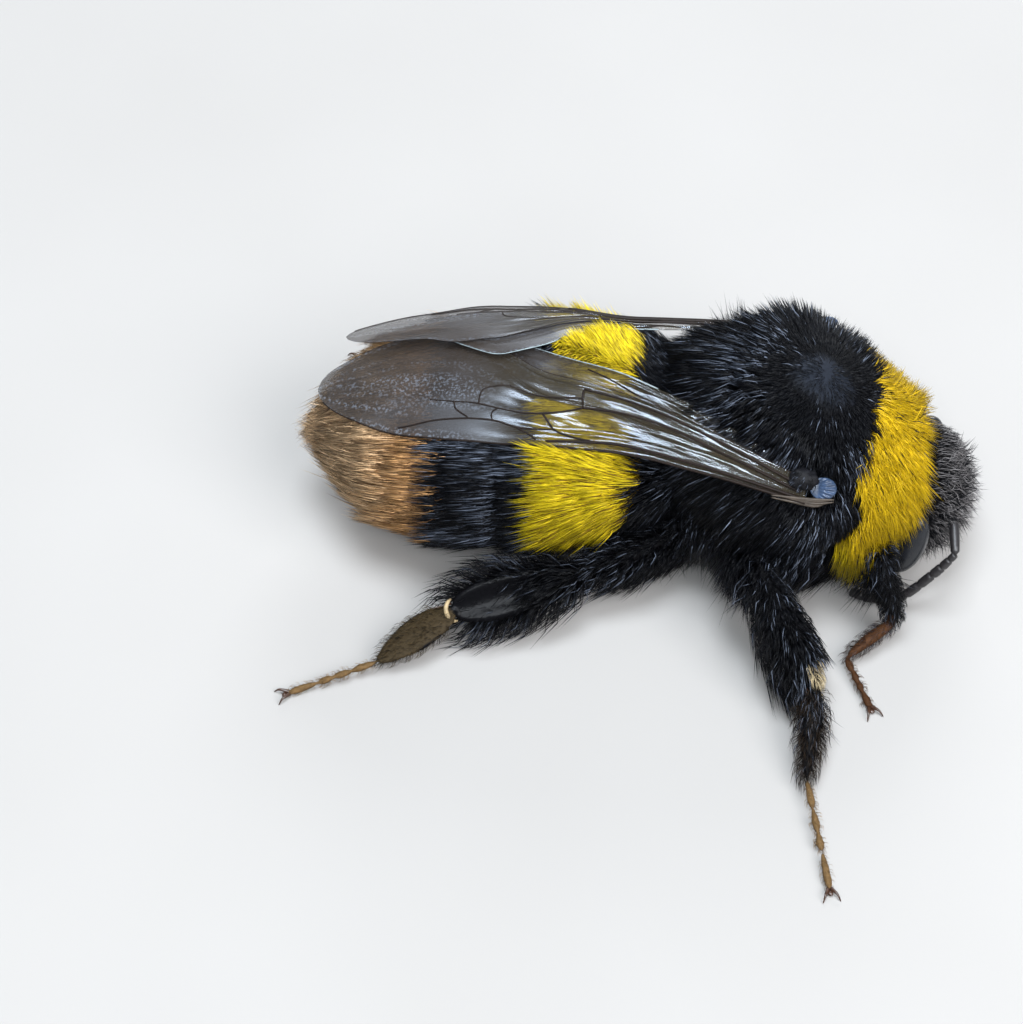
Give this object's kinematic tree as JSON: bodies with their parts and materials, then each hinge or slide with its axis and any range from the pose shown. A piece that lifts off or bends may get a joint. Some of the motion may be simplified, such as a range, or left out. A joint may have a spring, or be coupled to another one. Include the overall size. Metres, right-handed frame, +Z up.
{
  "type": "bumblebee",
  "caption": "Life-size queen bumblebee standing with folded wings, its coat banded in black, yellow and buff.",
  "frame": {"origin": "on the floor, below the middle of the whole bee", "axes": "+X towards the head, +Y towards the bee's left, +Z up"},
  "size_m": [0.0236, 0.0244, 0.0096],
  "materials": {
    "coat_black": "dense black hair",
    "coat_yellow": "dense golden yellow hair",
    "coat_buff": "buff hair",
    "shell": "smooth black body shell",
    "eye": "dark faceted eye",
    "wing": "smoky brown membrane with dark veins",
    "horn": "dark brown horn of the mouthparts",
    "foot": "amber brown feet"
  },
  "bodies": {
    "root": {"head": "coat_black", "eye_right": "eye", "antenna_scape_right": "shell", "antenna_flagellum_right": "shell", "mandible_right": "horn", "eye_left": "eye", "antenna_scape_left": "shell", "antenna_flagellum_left": "shell", "mandible_left": "horn", "proboscis": "horn", "thorax": "coat_black", "tegula_right": "shell", "forewing_right": "wing", "hindwing_right": "wing", "tegula_left": "shell", "forewing_left": "wing", "hindwing_left": "wing", "abdomen_1": "coat_black", "abdomen_2": "coat_yellow", "abdomen_3": "coat_black", "abdomen_4": "coat_buff", "abdomen_5": "coat_buff", "abdomen_6": "coat_buff", "femur_front_right": "coat_black", "tibia_front_right": "coat_black", "basitarsus_front_right": "coat_black", "tarsus_front_right": "foot", "femur_mid_right": "coat_black", "tibia_mid_right": "coat_black", "basitarsus_mid_right": "coat_black", "tarsus_mid_right": "foot", "femur_hind_right": "coat_black", "tibia_hind_right": "coat_black", "basitarsus_hind_right": "coat_black", "tarsus_hind_right": "foot", "femur_front_left": "coat_black", "tibia_front_left": "coat_black", "basitarsus_front_left": "coat_black", "tarsus_front_left": "foot", "femur_mid_left": "coat_black", "tibia_mid_left": "coat_black", "basitarsus_mid_left": "coat_black", "tarsus_mid_left": "foot", "femur_hind_left": "coat_black", "tibia_hind_left": "coat_black", "basitarsus_hind_left": "coat_black", "tarsus_hind_left": "foot"}
  },
  "joints": []
}
